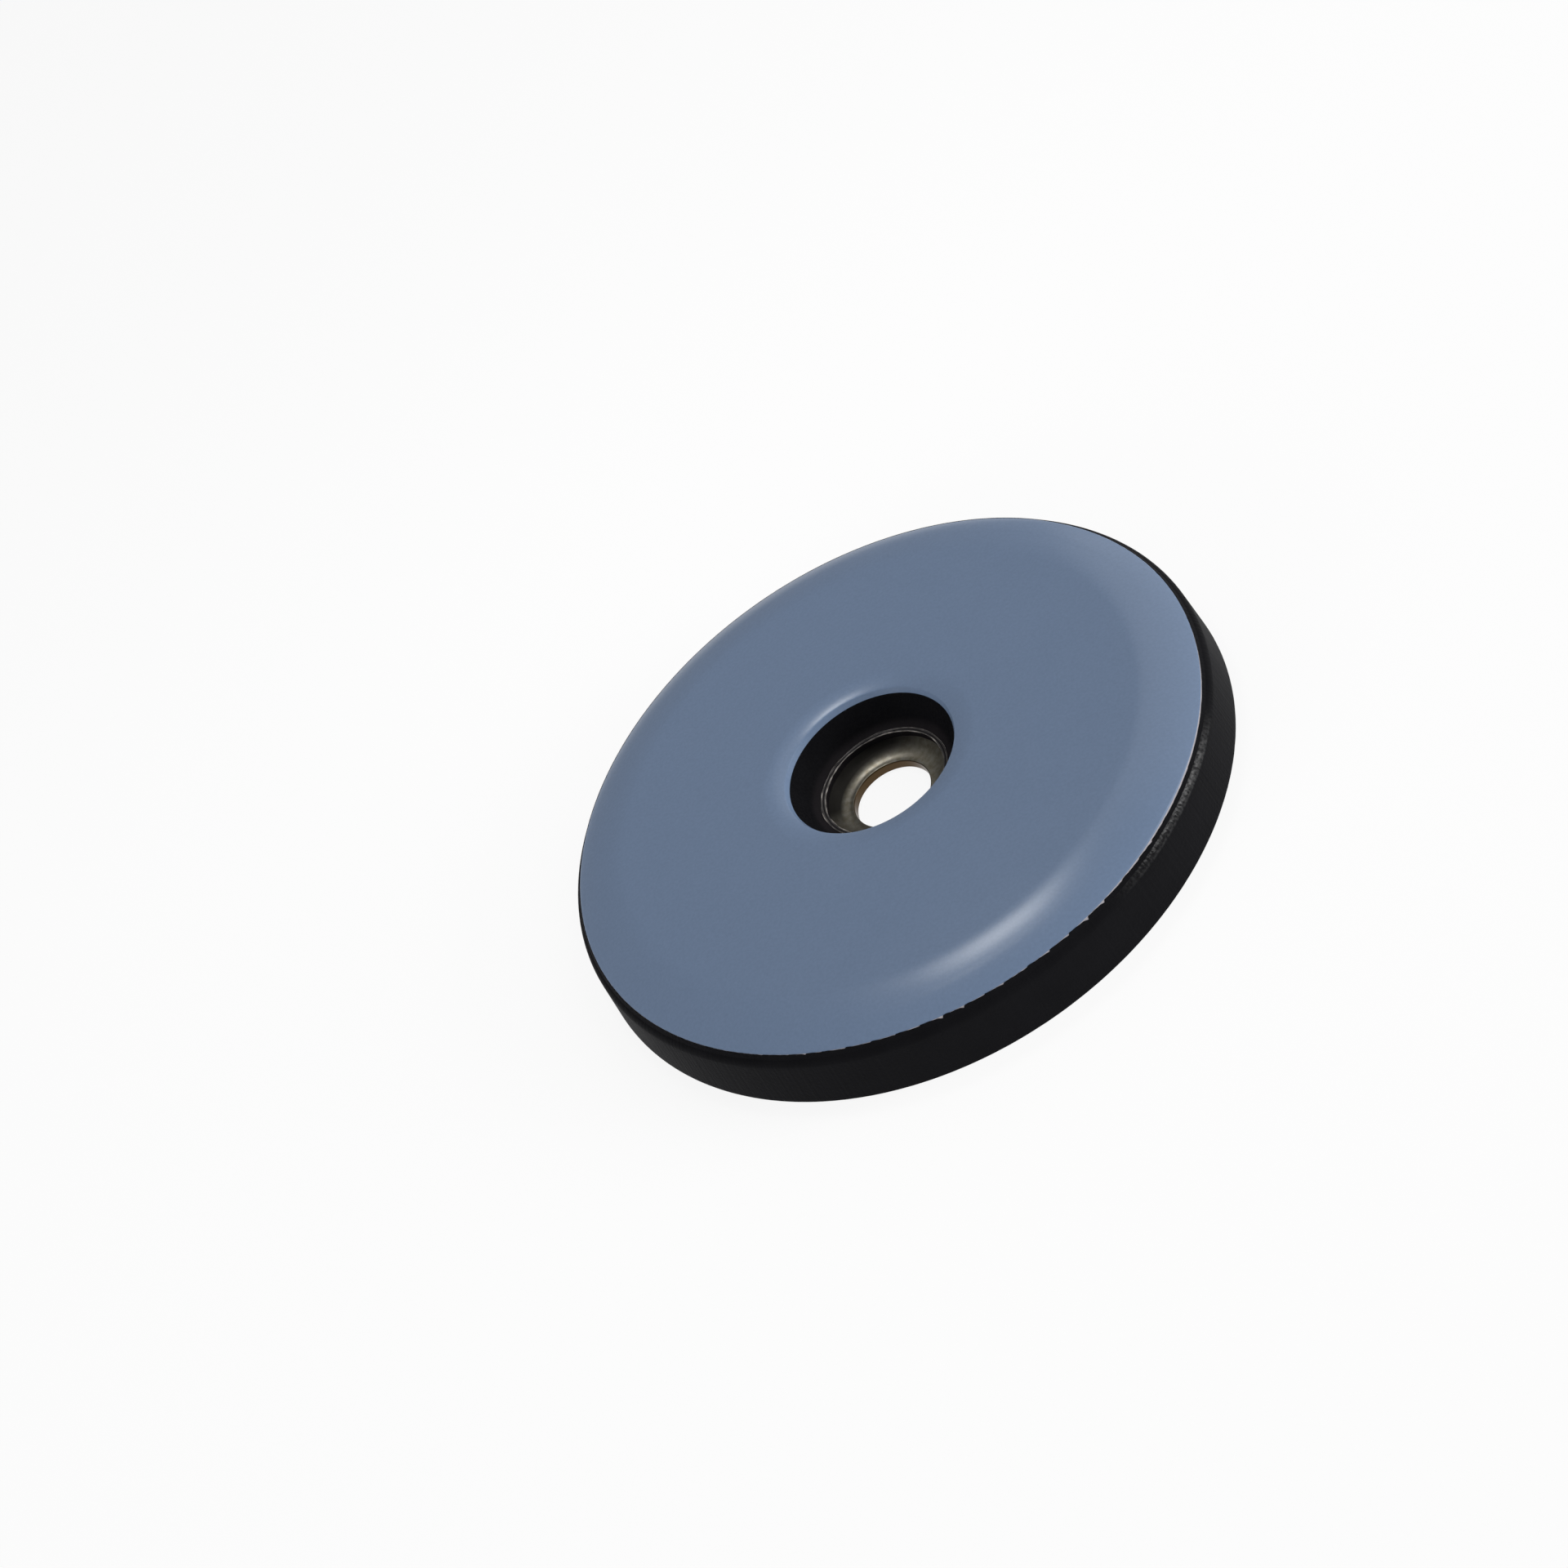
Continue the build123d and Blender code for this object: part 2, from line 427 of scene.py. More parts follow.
def moulded_rubber(name, lower, upper, stretch=None):
    """Moulded rubber: near black, with a fine eroded grain and tool marks that break up its gloss.

    It changes from the look of one level to that of a higher one, all round, or only along a stretch given
    by the direction of its middle and half its length.
    """
    material, tree, shader = blank_material(name)
    place = add_node(tree, "ShaderNodeTexCoord").outputs["Object"]
    grain = add_node(tree, "ShaderNodeTexNoise", {"Vector": place, "Scale": 1 / RUBBER_GRAIN, "Detail": 3})
    patches = add_node(
        tree, "ShaderNodeTexNoise", {"Vector": place, "Scale": 1 / RUBBER_PATCHES, "Detail": 3}
    )
    turn = add_node(tree, "ShaderNodeTexGradient", {"Vector": place}, gradient_type="RADIAL")
    marks_per_turn = tau * base_high.x / RUBBER_MARKS
    turned = add_node(
        tree, "ShaderNodeMath", {0: turn.outputs["Fac"], 1: marks_per_turn}, operation="MULTIPLY"
    )
    marks = add_node(
        tree, "ShaderNodeTexNoise", {"W": turned.outputs[0], "Scale": 1.0, "Detail": 2},
        noise_dimensions="1D",
    )
    rise = add_node(tree, "ShaderNodeSeparateXYZ", {0: place})
    climb = add_node(
        tree, "ShaderNodeMapRange",
        {"Value": rise.outputs["Z"], "From Min": lower.height, "From Max": upper.height},
        interpolation_type="SMOOTHSTEP",
    )
    share = climb.outputs[0]
    if stretch:
        middle, reach = (part / tau for part in stretch)
        away = add_node(
            tree, "ShaderNodeMath", {0: turn.outputs["Fac"], 1: middle + 0.5}, operation="SUBTRACT"
        )
        apart = add_node(tree, "ShaderNodeMath", {0: away.outputs[0]}, operation="ABSOLUTE")
        kept = add_node(
            tree, "ShaderNodeMapRange",
            {
                "Value": apart.outputs[0], "From Min": 0.4 * reach, "From Max": reach,
                "To Min": climb.outputs[0], "To Max": 0,
            },
            interpolation_type="SMOOTHSTEP",
        )
        share = kept.outputs[0]
    graded = add_node(
        tree, "ShaderNodeMix", {0: share, 6: shade(lower.tone, 1), 7: shade(upper.tone, 1)},
        data_type="RGBA",
    )
    clouds = add_node(
        tree, "ShaderNodeMapRange", {"Value": patches.outputs["Fac"], "To Min": 0.75, "To Max": 1.25}
    )
    toned = add_node(
        tree, "ShaderNodeVectorMath", {0: graded.outputs[2], "Scale": clouds.outputs[0]}, operation="SCALE"
    )
    spotted = add_node(
        tree, "ShaderNodeMapRange",
        {
            "Value": grain.outputs["Fac"], "From Min": 0.35, "From Max": 0.65,
            "To Min": 0.3 * upper.mirror, "To Max": 1.7 * upper.mirror,
        },
    )
    mirror = add_node(
        tree, "ShaderNodeMapRange",
        {"Value": share, "To Min": lower.mirror, "To Max": spotted.outputs[0]},
    )
    matt = add_node(
        tree, "ShaderNodeMapRange",
        {"Value": share, "To Min": lower.roughness, "To Max": upper.roughness},
    )
    gloss = add_node(
        tree, "ShaderNodeMath", {0: patches.outputs["Fac"], 1: 0.1, 2: matt.outputs[0]},
        operation="MULTIPLY_ADD",
    )
    height = add_node(
        tree, "ShaderNodeMath", {0: grain.outputs["Fac"], 1: marks.outputs["Fac"]}, operation="ADD"
    )
    relief = add_node(
        tree, "ShaderNodeBump", {"Height": height.outputs[0], "Strength": 0.5, "Distance": 0.05 * MM}
    )
    tree.links.new(toned.outputs[0], shader.inputs["Base Color"])
    tree.links.new(gloss.outputs[0], shader.inputs["Roughness"])
    tree.links.new(relief.outputs["Normal"], shader.inputs["Normal"])
    tree.links.new(mirror.outputs[0], shader.inputs["Specular IOR Level"])
    shader.inputs["IOR"].default_value = 1.52
    return material


def scuffed_flash(name, tone):
    """Feather edge of rubber, scuffed by tools: grey where it is bruised, dark where it is not."""
    material, tree, shader = blank_material(name)
    place = add_node(tree, "ShaderNodeTexCoord").outputs["Object"]
    bruises = add_node(tree, "ShaderNodeTexNoise", {"Vector": place, "Scale": 1 / FLASH_BRUISES, "Detail": 4})
    patchy = add_node(
        tree, "ShaderNodeMapRange", {"Value": bruises.outputs["Fac"], "From Min": 0.35, "From Max": 0.65}
    )
    toned = add_node(
        tree, "ShaderNodeMix", {0: patchy.outputs[0], 6: shade(tone, 0.35), 7: shade(tone, 1.5)},
        data_type="RGBA",
    )
    relief = add_node(
        tree, "ShaderNodeBump", {"Height": bruises.outputs["Fac"], "Strength": 0.5, "Distance": 0.05 * MM}
    )
    tree.links.new(toned.outputs[2], shader.inputs["Base Color"])
    tree.links.new(relief.outputs["Normal"], shader.inputs["Normal"])
    shader.inputs["Roughness"].default_value = 0.5
    return material


def pressed_steel(tone, film, seat_shade, brown, hole_radius):
    """Pressed steel, unplated: dull grey, filmed with brown, and brown on the wall of the punched hole, made
    dark there as painted shade.

    Painted shade darkens its seat, most at the rim on the far side and on the left.
    """
    material, tree, shader = blank_material("steel_pressed_dull")
    place = add_node(tree, "ShaderNodeTexCoord").outputs["Object"]
    flat = add_node(tree, "ShaderNodeVectorMath", {0: place, 1: (1, 1, 0)}, operation="MULTIPLY")
    radius = add_node(tree, "ShaderNodeVectorMath", {0: flat.outputs[0]}, operation="LENGTH")
    rings = add_node(
        tree, "ShaderNodeTexNoise", {"W": radius.outputs["Value"], "Scale": 1 / STEEL_RINGS, "Detail": 3},
        noise_dimensions="1D",
    )
    stain = add_node(tree, "ShaderNodeTexNoise", {"Vector": place, "Scale": 1 / STEEL_STAINS, "Detail": 3})
    filmed = add_node(
        tree, "ShaderNodeMapRange", {"Value": stain.outputs["Fac"], "From Min": 0.3, "From Max": 0.75}
    )
    toned = add_node(
        tree, "ShaderNodeMix", {0: filmed.outputs[0], 6: shade(tone, 1), 7: shade(film, 1)},
        data_type="RGBA",
    )
    across = add_node(tree, "ShaderNodeSeparateXYZ", {0: place})
    # Painted shade on the left of the seat: full on the left, none towards the right
    left = add_node(
        tree, "ShaderNodeMapRange",
        {
            "Value": across.outputs["X"], "From Min": LEFT_SHADE_FULL, "From Max": LEFT_SHADE_GONE,
            "To Min": 1, "To Max": 0,
        },
    )
    # Radius at which the painted shade of the seat is full, a little nearer the hole on the left
    seat_shade_end = add_node(
        tree, "ShaderNodeMapRange",
        {
            "Value": left.outputs[0], "To Min": hole_radius + SEAT_SHADE_END_RIGHT,
            "To Max": hole_radius + SEAT_SHADE_END_LEFT,
        },
    )
    # Painted shade of the seat: none near the hole, full towards the rim under the rubber; the steel is
    # rougher there too
    formed = add_node(
        tree, "ShaderNodeMapRange",
        {
            "Value": radius.outputs["Value"], "From Min": hole_radius + SEAT_SHADE_START,
            "From Max": seat_shade_end.outputs[0],
        },
    )
    left_shade = add_node(tree, "ShaderNodeMath", {0: left.outputs[0], 1: 0.5}, operation="MULTIPLY")
    # Painted shade on the far side of the seat, growing from the middle
    depth = add_node(tree, "ShaderNodeVectorMath", {0: place, 1: FAR_SIDE}, operation="DOT_PRODUCT")
    far = add_node(tree, "ShaderNodeMapRange", {"Value": depth.outputs["Value"], "From Max": FAR_REACH})
    far_rim_shade = add_node(
        tree, "ShaderNodeMath", {0: formed.outputs[0], 1: far.outputs[0]}, operation="MULTIPLY"
    )
    shade_share = add_node(
        tree, "ShaderNodeMath", {0: far_rim_shade.outputs[0], 1: left_shade.outputs[0]}, operation="MAXIMUM"
    )
    # Colour of the painted shade: lighter on the right, darker on the left
    shade_tone = add_node(
        tree, "ShaderNodeMix", {0: left.outputs[0], 6: shade(seat_shade, 1.25), 7: shade(seat_shade, 0.45)},
        data_type="RGBA",
    )
    shaded = add_node(
        tree, "ShaderNodeMix", {0: shade_share.outputs[0], 6: toned.outputs[2], 7: shade_tone.outputs[2]},
        data_type="RGBA",
    )
    # Wall of the hole: brown, and dark as painted shade in the hole
    punched = add_node(
        tree, "ShaderNodeMapRange",
        {
            "Value": radius.outputs["Value"], "From Min": hole_radius + PUNCHED_START,
            "From Max": hole_radius + PUNCHED_END, "To Min": 1, "To Max": 0,
        },
    )
    shaded_with_hole_wall = add_node(
        tree, "ShaderNodeMix", {0: punched.outputs[0], 6: shaded.outputs[2], 7: shade(brown, 1)},
        data_type="RGBA",
    )
    worn = add_node(
        tree, "ShaderNodeMapRange", {"Value": stain.outputs["Fac"], "To Min": 0.26, "To Max": 0.34}
    )
    gloss = add_node(
        tree, "ShaderNodeMath", {0: formed.outputs[0], 1: 0.3, 2: worn.outputs[0]}, operation="MULTIPLY_ADD"
    )
    relief = add_node(
        tree, "ShaderNodeBump", {"Height": rings.outputs["Fac"], "Strength": 0.2, "Distance": 0.01 * MM}
    )
    tree.links.new(shaded_with_hole_wall.outputs[2], shader.inputs["Base Color"])
    tree.links.new(gloss.outputs[0], shader.inputs["Roughness"])
    tree.links.new(relief.outputs["Normal"], shader.inputs["Normal"])
    shader.inputs["Metallic"].default_value = 1
    return material


class GLIDE_OT_sliding_pad(bpy.types.Operator):
    """Model the formed PTFE pad, with its rolled rim, its lip at the hole and its cut edges"""

    bl_idname = "glide.sliding_pad"
    bl_label = "Sliding pad"

    FLAT_CUTS = 14
    RIM_SEGMENTS = 24
    LIP_SEGMENTS = 16
    EDGE_SEGMENTS = 6

    def execute(self, context):
        s = context.scene.glide_sizes
        p = places(s)
        rim_corner, rim_reach = arc_corner(p.rim_start, Vector((1, 0)), p.rim_edge)
        lip_corner, lip_reach = arc_corner(p.lip_start, Vector((-1, 0)), p.lip_edge)
        section = [p.hole_edge, p.lip_edge, lip_corner, rim_corner, p.rim_edge, p.seam, p.rim_underside]
        bm = spun(section, PAD_STEPS)
        round_ring(bm, rim_corner, rim_reach, self.RIM_SEGMENTS)
        round_ring(bm, lip_corner, lip_reach, self.LIP_SEGMENTS)
        divide_between(bm, p.lip_start, p.rim_start, self.FLAT_CUTS)
        round_ring(bm, p.rim_edge, s.rim_edge_rounding, self.EDGE_SEGMENTS)
        round_ring(bm, p.lip_edge, s.lip_edge_rounding, self.EDGE_SEGMENTS)
        for face in bm.faces:
            middle = face.calc_center_median()
            face.material_index = int(hypot(middle.x, middle.y) > p.rim_edge.x)
        for vert in bm.verts:
            if vert.co.z > p.lip_edge.y:
                dip = 0.5 + 0.5 * noise.noise(vert.co / s.wave_spacing)
                vert.co.z -= s.pad_waviness * dip
        colours = context.scene.glide_colours
        finishes = [ptfe_sheet(colours.pad), ptfe_cut_edge(colours.cut_edge)]
        finish_piece(bm, "formed_pad", finishes, "sliding_pad")
        return {"FINISHED"}


class GLIDE_OT_rubber_base(bpy.types.Operator):
    """Model the moulded rubber base, with its shoulder, its well and the pocket of the cup"""

    bl_idname = "glide.rubber_base"
    bl_label = "Rubber base"

    WALL_CUTS = 10
    SHOULDER_SEGMENTS = 12
    FOOT_SEGMENTS = 8
    EDGE_SEGMENTS = 3
    MARKS_SEED = 5
    POLISH_FOOT = 0.46 * MM
    POLISH_TOP = 0.26 * MM
    DUST_HEIGHT = 0.6 * MM

    def execute(self, context):
        s = context.scene.glide_sizes
        p = places(s)
        shoulder_corner, shoulder_reach = arc_corner(p.wall_top, p.wall_top - p.back_edge, p.seam)
        land_foot = p.hole_edge - Vector((0, s.well_land))
        pocket_rim = Vector((s.flange_radius, s.flange_height))
        seat_under = Vector((p.throat_radius + p.outside_shift, p.flange_under))
        seat_low = Vector((p.throat_radius, p.flange_under - p.outside_shift * tan(s.seat_angle)))
        section = [
            p.seam, p.rim_underside, p.hole_edge, land_foot, p.well_foot, p.throat_top,
            (p.throat_radius, s.flange_height), pocket_rim, (s.flange_radius, p.flange_under),
            seat_under, seat_low, (p.throat_radius, 0), p.back_edge, shoulder_corner,
        ]
        foot_reach = fillet_reach(land_foot, p.well_foot, p.throat_top, s.well_foot_rounding)
        bm = spun(section, BASE_STEPS)
        round_ring(bm, shoulder_corner, shoulder_reach, self.SHOULDER_SEGMENTS)
        round_ring(bm, p.well_foot, foot_reach, self.FOOT_SEGMENTS)
        divide_between(bm, p.back_edge, p.wall_top, self.WALL_CUTS)
        round_ring(bm, p.back_edge, s.back_edge_rounding, self.EDGE_SEGMENTS)
        for vert in bm.verts:
            out = hypot(vert.co.x, vert.co.y)
            if out > p.seam.x + SAME_RING:
                turn = atan2(vert.co.y, vert.co.x)
                mark = 0.5 + 0.5 * along_ring(turn, out, s.striation_spacing, self.MARKS_SEED)
                vert.co.xy *= 1 - s.striation_depth * mark / out
        for face in bm.faces:
            middle = face.calc_center_median()
            face.material_index = int(hypot(middle.x, middle.y) < p.hole_radius)
        colours = context.scene.glide_colours
        outside = moulded_rubber(
            "rubber_moulded_satin",
            Level(s.seam_height - self.POLISH_FOOT, colours.rubber, mirror=0.025, roughness=0.52),
            Level(s.seam_height - self.POLISH_TOP, colours.rubber, mirror=0.42, roughness=0.26),
            (s.polished_middle, s.polished_reach),
        )
        well = moulded_rubber(
            "rubber_moulded_dusty",
            Level(p.throat_height, colours.dust, mirror=0.025, roughness=0.6),
            Level(p.throat_height + self.DUST_HEIGHT, colours.rubber, mirror=0.025, roughness=0.5),
        )
        finish_piece(bm, "moulded_base", [outside, well], "rubber_base")
        return {"FINISHED"}


class GLIDE_OT_screw_cup(bpy.types.Operator):
    """Model the pressed steel cup, with its punched hole, its dished seat and its flange"""

    bl_idname = "glide.screw_cup"
    bl_label = "Screw cup"

    BEND_SEGMENTS = 10
    EDGE_SEGMENTS = 6

    def execute(self, context):
        s = context.scene.glide_sizes
        p = places(s)
        hole_foot = Vector((s.screw_hole_radius, 0))
        hole_top = Vector((s.screw_hole_radius, s.steel_thickness))
        inner_foot = Vector((p.floor_corner, s.steel_thickness))
        flange_foot = Vector((p.throat_radius, s.flange_height))
        flange_corner = Vector((p.throat_radius + p.outside_shift, p.flange_under))
        outer_foot = Vector((p.floor_corner + p.outside_shift, 0))
        section = [
            hole_foot, hole_top, inner_foot, flange_foot,
            (s.flange_radius, s.flange_height), (s.flange_radius, p.flange_under),
            flange_corner, outer_foot,
        ]
        bend = fillet_reach(hole_top, inner_foot, flange_foot, s.seat_bend)
        outer_bend = fillet_reach(flange_corner, outer_foot, hole_foot, s.seat_bend + s.steel_thickness)
        bm = spun(section, CUP_STEPS)
        round_ring(bm, inner_foot, bend, self.BEND_SEGMENTS)
        round_ring(bm, outer_foot, outer_bend, self.BEND_SEGMENTS)
        round_ring(bm, hole_top, s.screw_hole_rounding, self.EDGE_SEGMENTS)
        colours = context.scene.glide_colours
        finish = pressed_steel(
            colours.steel, colours.tarnish, colours.seat_shade, colours.punched, s.screw_hole_radius
        )
        finish_piece(bm, "pressed_cup", [finish], "screw_cup")
        return {"FINISHED"}


class GLIDE_OT_seam_flash(bpy.types.Operator):
    """Model the feather edge of rubber that climbs the pad's cut edge, ragged in front"""

    bl_idname = "glide.seam_flash"
    bl_label = "Seam flash"

    TEETH = 95
    TEARS_SEED = 7
    TOOTH_DRIFT = 0.45
    DRIFT_SPACING = 4 * MM
    DRIFT_SEED = 17
    LEAST_FALL = 0.06
    TORN_FALL = 0.22
    NICK_DEPTH = 0.4
    NICK_FROM_TEAR = 0.55
    NICK_FROM_PLACE = 0.8
    FUZZ = 0.04
    RAGGED_FUZZ = 0.05
    FUZZ_SPACING = 0.4 * MM
    FUZZ_SEED = 11

    def share(self, turn, middle, reach):
        """How far a direction belongs to a stretch of the seam, from 1 in its middle to 0."""
        away = abs((turn - middle + pi) % tau - pi) / reach
        return max(0, 1 - away**2)

    def cover(self, s, turn, tears):
        """Share of the cut edge that the flash covers in a direction.

        In the ragged stretch it falls along each tooth, more where it is torn, and the worst tears end in a
        nick.
        """
        ragged = self.share(turn, s.ragged_middle, s.ragged_reach)
        bare = self.share(turn, s.bare_middle, s.bare_reach)
        drift = self.TOOTH_DRIFT * along_ring(turn, s.seam_radius, self.DRIFT_SPACING, self.DRIFT_SEED)
        tooth, along = divmod(turn / tau * self.TEETH + drift, 1)
        tear = tears[int(tooth) % self.TEETH]
        fuzz = along_ring(turn, s.seam_radius, self.FUZZ_SPACING, self.FUZZ_SEED)
        worst = max(0, tear - self.NICK_FROM_TEAR) / (1 - self.NICK_FROM_TEAR)
        nick = self.NICK_DEPTH * worst * max(0, along - self.NICK_FROM_PLACE) / (1 - self.NICK_FROM_PLACE)
        fall = (self.LEAST_FALL + self.TORN_FALL * tear) * (0.5 - along)
        even = s.flash_cover + bare * (s.bare_cover - s.flash_cover) + self.FUZZ * fuzz
        return even + ragged * (fall + self.RAGGED_FUZZ * fuzz - nick)

    def execute(self, context):
        s = context.scene.glide_sizes
        p = places(s)
        climb = (p.rim_edge - p.seam).normalized()
        outward = Vector((climb.y, -climb.x))
        down = (p.wall_top - p.seam).normalized()
        edge_length = (p.rim_edge - p.seam).length
        inner_foot = p.seam - outward * s.flash_thickness
        inner_tip = inner_foot + climb * edge_length
        outer_tip = p.rim_edge + outward * s.flash_thickness
        outer_foot = p.seam + down * s.flash_foot
        chance = Random(self.TEARS_SEED)
        tears = [chance.random() for tooth in range(self.TEETH)]
        bm = spun([inner_foot, inner_tip, outer_tip, outer_foot], SEAM_FLASH_STEPS)
        for tip in (inner_tip, outer_tip):
            for vert in ring_verts(bm, tip):
                turn = atan2(vert.co.y, vert.co.x)
                place = tip + climb * edge_length * (self.cover(s, turn, tears) - 1)
                set_ring_point(vert, turn, *place)
        rubber = context.scene.glide_colours.rubber
        finish = moulded_rubber(
            "rubber_flash_matt",
            Level(p.seam.y, rubber, mirror=0.025, roughness=0.6),
            Level(p.rim_edge.y, rubber, mirror=0.025, roughness=0.6),
        )
        finish_piece(bm, "seam_flash", [finish])
        return {"FINISHED"}


class GLIDE_OT_throat_flash(bpy.types.Operator):
    """Model the scuffed ring of flash where the rubber ends on the steel"""

    bl_idname = "glide.throat_flash"
    bl_label = "Throat flash"

    # Places of the finishes in the mesh's list
    DUSTY, SCUFFED, RUBBED = range(3)
    BEADS = (
        Bead(-0.1 * MM, -0.02 * MM, seed=13, share=0.4),
        Bead(0.2 * MM, 0.03 * MM, seed=31, share=-0.1),
        Bead(-0.06 * MM, -0.32 * MM, seed=47, share=-0.1),
    )
    BEAD_SIDES = 6
    BEAD_RADIUS = 0.055 * MM
    BEAD_DRIFT = 0.05 * MM
    DRIFT_RISE = 0.4
    FULLEST_MIDDLE = radians(115)
    FULLEST_GAIN = 0.35
    SWELL_GAIN = 1.2
    SWELL_SPACING = 0.9 * MM
    LEAST_SWELL = 0.15
    SLOW_SPACING = 1.4 * MM
    QUICK_SPACING = 0.4 * MM
    QUICK_SHARE = 0.35

    def wander(self, turn, radius, seed):
        """Random shift of an edge in a direction, from about -1 to 1, with slow and quick parts."""
        slow = along_ring(turn, radius, self.SLOW_SPACING, seed)
        return slow + self.QUICK_SHARE * along_ring(turn, radius, self.QUICK_SPACING, seed + 0.5)

    def add_bead(self, bm, throat_top, bead):
        """Thin ridge of scuffed flash that thins out and comes back along the throat."""
        middle = throat_top + Vector((bead.out, bead.up))
        spokes = [
            Vector((cos(tau * i / self.BEAD_SIDES), sin(tau * i / self.BEAD_SIDES))) * self.BEAD_RADIUS
            for i in range(self.BEAD_SIDES)
        ]
        spun([middle + spoke for spoke in spokes], THROAT_FLASH_STEPS, bm)
        for spoke in spokes:
            for vert in ring_verts(bm, middle + spoke):
                turn = atan2(vert.co.y, vert.co.x)
                swell = bead.share + self.FULLEST_GAIN * cos(turn - self.FULLEST_MIDDLE)
                swell += self.SWELL_GAIN * along_ring(turn, middle.x, self.SWELL_SPACING, bead.seed + 3)
                swell = min(1, max(self.LEAST_SWELL, swell))
                drift = self.BEAD_DRIFT * self.wander(turn, middle.x, bead.seed)
                place = middle + Vector((1, self.DRIFT_RISE)) * drift + spoke * swell
                set_ring_point(vert, turn, *place)

    def execute(self, context):
        s = context.scene.glide_sizes
        p = places(s)
        brow = p.throat_top + Vector((0.2 * MM, 0.02 * MM))
        lip = p.throat_top + Vector((-s.throat_overhang, -0.04 * MM))
        toe = Vector((p.throat_radius - 0.1 * MM, s.flange_height - 0.06 * MM))
        heel = Vector((p.throat_radius + 0.03 * MM, s.flange_height - 0.03 * MM))
        root = p.throat_top + Vector((0.1 * MM, -0.1 * MM))
        bm = spun([brow, lip, toe, heel, root], THROAT_FLASH_STEPS)
        ledge = ring_verts(bm, brow) | ring_verts(bm, lip)
        for face in bm.faces:
            face.material_index = self.RUBBED if ledge.issuperset(face.verts) else self.DUSTY
        for corner, depth, seed in ((brow, 0.05 * MM, 7), (lip, 0.05 * MM, 13), (toe, 0.04 * MM, 23)):
            for vert in ring_verts(bm, corner):
                turn = atan2(vert.co.y, vert.co.x)
                drift = depth * self.wander(turn, p.throat_radius, seed)
                set_ring_point(vert, turn, corner.x + drift, corner.y + self.DRIFT_RISE * drift)
        skirt = set(bm.faces)
        for bead in self.BEADS:
            self.add_bead(bm, p.throat_top, bead)
        for face in bm.faces:
            if face not in skirt:
                face.material_index = self.SCUFFED
        colours = context.scene.glide_colours
        dusty = bpy.data.materials["rubber_moulded_dusty"]
        scuffed = scuffed_flash("rubber_flash_scuffed", colours.flash)
        rubbed = scuffed_flash("rubber_ledge_rubbed", colours.ledge)
        finish_piece(bm, "throat_flash", [dusty, scuffed, rubbed])
        return {"FINISHED"}


